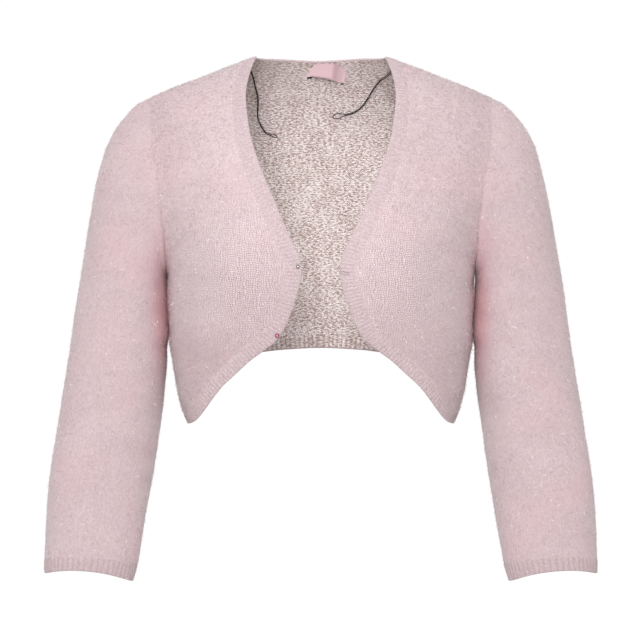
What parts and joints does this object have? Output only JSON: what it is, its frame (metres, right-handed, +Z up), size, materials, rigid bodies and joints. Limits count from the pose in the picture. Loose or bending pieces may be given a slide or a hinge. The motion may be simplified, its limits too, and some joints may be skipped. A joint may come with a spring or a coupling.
{
  "type": "cropped cardigan",
  "caption": "Cropped open cardigan in fluffy pink knit: cut-away fronts that curve to the side seams, ribbed edges, three-quarter sleeves; hollow, filled out as worn.",
  "frame": {"origin": "midway between the neck ends of the two shoulder seams, where the wearer's shoulders hold the garment up", "axes": "+X to the garment's own left, across it; +Y from the front to the back; +Z up"},
  "size_m": [0.5498, 0.2107, 0.5259],
  "materials": {
    "pink_knit": "fluffy brushed wool and angora knit, matt, a few fine glints",
    "pink_rib": "ribbed wool knit, matt, lightly brushed",
    "pink_satin": "smooth satin tape, soft sheen",
    "black_cord": "thin twisted cord, matt",
    "clear_bead": "small polished clear bead",
    "pink_bead": "small polished deep pink bead"
  },
  "bodies": {
    "root": {"back": "pink_knit", "front_left": "pink_knit", "front_right": "pink_knit", "sleeve_left": "pink_knit", "sleeve_right": "pink_knit", "front_band_left": "pink_rib", "front_band_right": "pink_rib", "back_neck_band": "pink_rib", "back_hem_band": "pink_rib", "cuff_left": "pink_rib", "cuff_right": "pink_rib", "neck_label": "pink_satin", "hanger_loop_left": "black_cord", "hanger_loop_right": "black_cord", "bead_button_upper": "clear_bead", "bead_button_lower": "pink_bead"}
  },
  "joints": []
}
